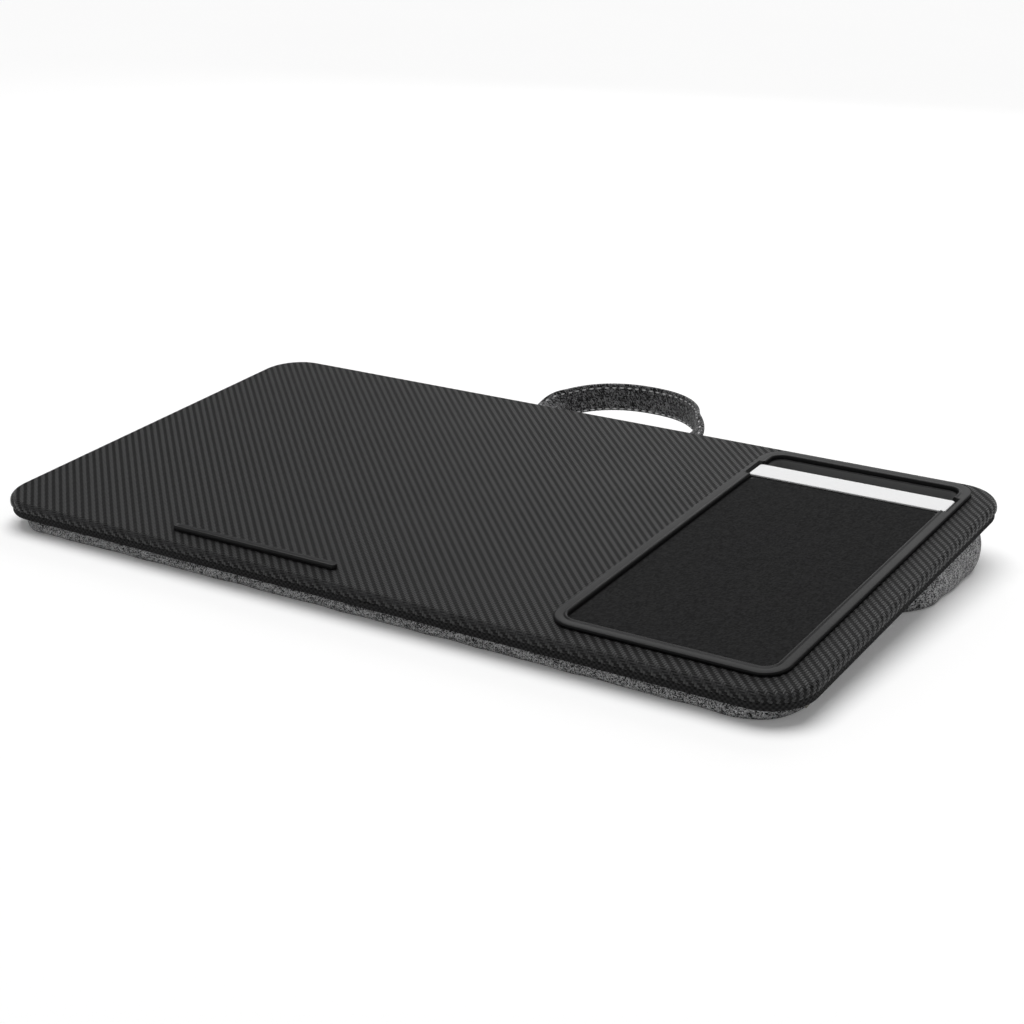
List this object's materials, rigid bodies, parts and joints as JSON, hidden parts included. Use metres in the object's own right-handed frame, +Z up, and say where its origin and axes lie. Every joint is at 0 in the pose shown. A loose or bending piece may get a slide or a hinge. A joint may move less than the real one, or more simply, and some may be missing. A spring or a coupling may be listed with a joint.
{
  "type": "lap desk",
  "caption": "Lap desk with a rolled-edge work board, an inset mouse pad with a phone slot, a low stop bar, two cloth bolsters and a cloth carry strap.",
  "frame": {"origin": "on the surface that the desk rests on, below the middle of the whole desk with its strap out", "axes": "+X along the long edge to the user's right, +Y away from the user towards the strap, +Z up"},
  "size_m": [0.574, 0.3685, 0.0481],
  "materials": {
    "core_board": "bare fibreboard",
    "black_cover": "satin black sheet embossed with fine diagonal twill stripes",
    "base_foam": "dark closed-cell foam",
    "grey_cloth": "heathered charcoal grey woven cloth",
    "black_tape": "black woven binding tape",
    "tray_plastic": "fine-grained black moulding",
    "screw_steel": "plain zinc-plated",
    "pad_rubber": "black rubber",
    "pad_cloth": "fine black cloth",
    "pale_strip": "plain pale silver-white strip",
    "stop_rubber": "smooth black rubber",
    "white_foam": "soft cushion foam",
    "webbing": "black webbing"
  },
  "bodies": {
    "desk": {"top_board": "core_board", "top_cover": "black_cover", "base_foam": "base_foam", "base_cloth": "grey_cloth", "edge_tape": "black_tape", "tray_insert": "tray_plastic", "tray_screw_1": "screw_steel", "tray_screw_2": "screw_steel", "tray_screw_3": "screw_steel", "tray_screw_4": "screw_steel", "tray_screw_5": "screw_steel", "tray_screw_6": "screw_steel", "mouse_pad_backing": "pad_rubber", "mouse_pad_cloth": "pad_cloth", "divider_strip": "pale_strip", "stop_bar": "stop_rubber", "front_bolster_cover": "grey_cloth", "front_bolster_fill": "white_foam", "rear_bolster_cover": "grey_cloth", "rear_bolster_fill": "white_foam", "handle_root_left": "grey_cloth", "handle_root_right": "grey_cloth"},
    "handle": {"handle_strap": "grey_cloth", "handle_core": "webbing"}
  },
  "joints": [
    {"name": "handle_swing", "type": "hinge", "parent": "desk", "child": "handle", "pos_m": [0, 0.12742, 0.0342], "axis": [1, 0, 0], "range_deg": [-25, 85]}
  ]
}
